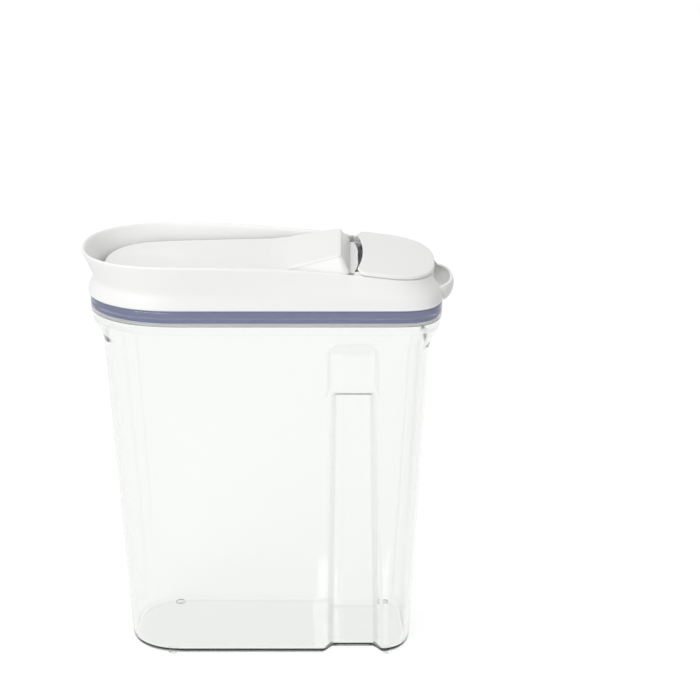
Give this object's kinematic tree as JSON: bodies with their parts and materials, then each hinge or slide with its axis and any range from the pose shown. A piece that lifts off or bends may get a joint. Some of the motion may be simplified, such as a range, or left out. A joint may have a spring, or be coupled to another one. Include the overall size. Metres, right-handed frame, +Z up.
{
  "type": "cereal container with flip spout",
  "caption": "Slim clear food keeper with a lift-off lid, a sprung press lever and a hinged flap over a pouring spout.",
  "frame": {"origin": "on the table under the middle of the whole object, level with the undersides of the feet", "axes": "+Z up, +X towards the pouring spout, +Y across to the far side in the picture"},
  "size_m": [0.24, 0.094, 0.2817],
  "materials": {
    "clear_plastic": "clear, glossy",
    "white_plastic": "white, soft gloss",
    "grey_rubber": "smooth, blue-grey",
    "steel": "plain wire and pin"
  },
  "bodies": {
    "container_body": {"container": "clear_plastic"},
    "lid_body": {"lid_shell": "white_plastic", "lid_plug": "white_plastic", "lid_gasket": "grey_rubber", "lever_pin": "steel", "lever_spring": "steel", "flap_pin_front": "steel", "flap_pin_rear": "steel"},
    "lever_body": {"press_lever": "white_plastic"},
    "flap_body": {"flap": "white_plastic", "flap_seal": "grey_rubber"}
  },
  "joints": [
    {"name": "lid_lift", "type": "slide", "parent": "container_body", "child": "lid_body", "axis": [0, 0, 1], "range_m": [0, 0.08]},
    {"name": "flap_open", "type": "hinge", "parent": "lid_body", "child": "flap_body", "pos_m": [0.0575, 0, 0.27061], "axis": [0, -1, 0], "range_deg": [0, 75]},
    {"name": "lever_press", "type": "hinge", "parent": "lid_body", "child": "lever_body", "pos_m": [-0.02, 0, 0.264], "axis": [0, -1, 0], "range_deg": [0, 4.3], "stiffness_Nm_per_rad": 2, "springref_deg": -2.86, "deforming": ["lever_spring"]}
  ],
  "couplings": [
    {"joint": "lever_press", "follows": "flap_open", "ratio": 0.0571}
  ]
}
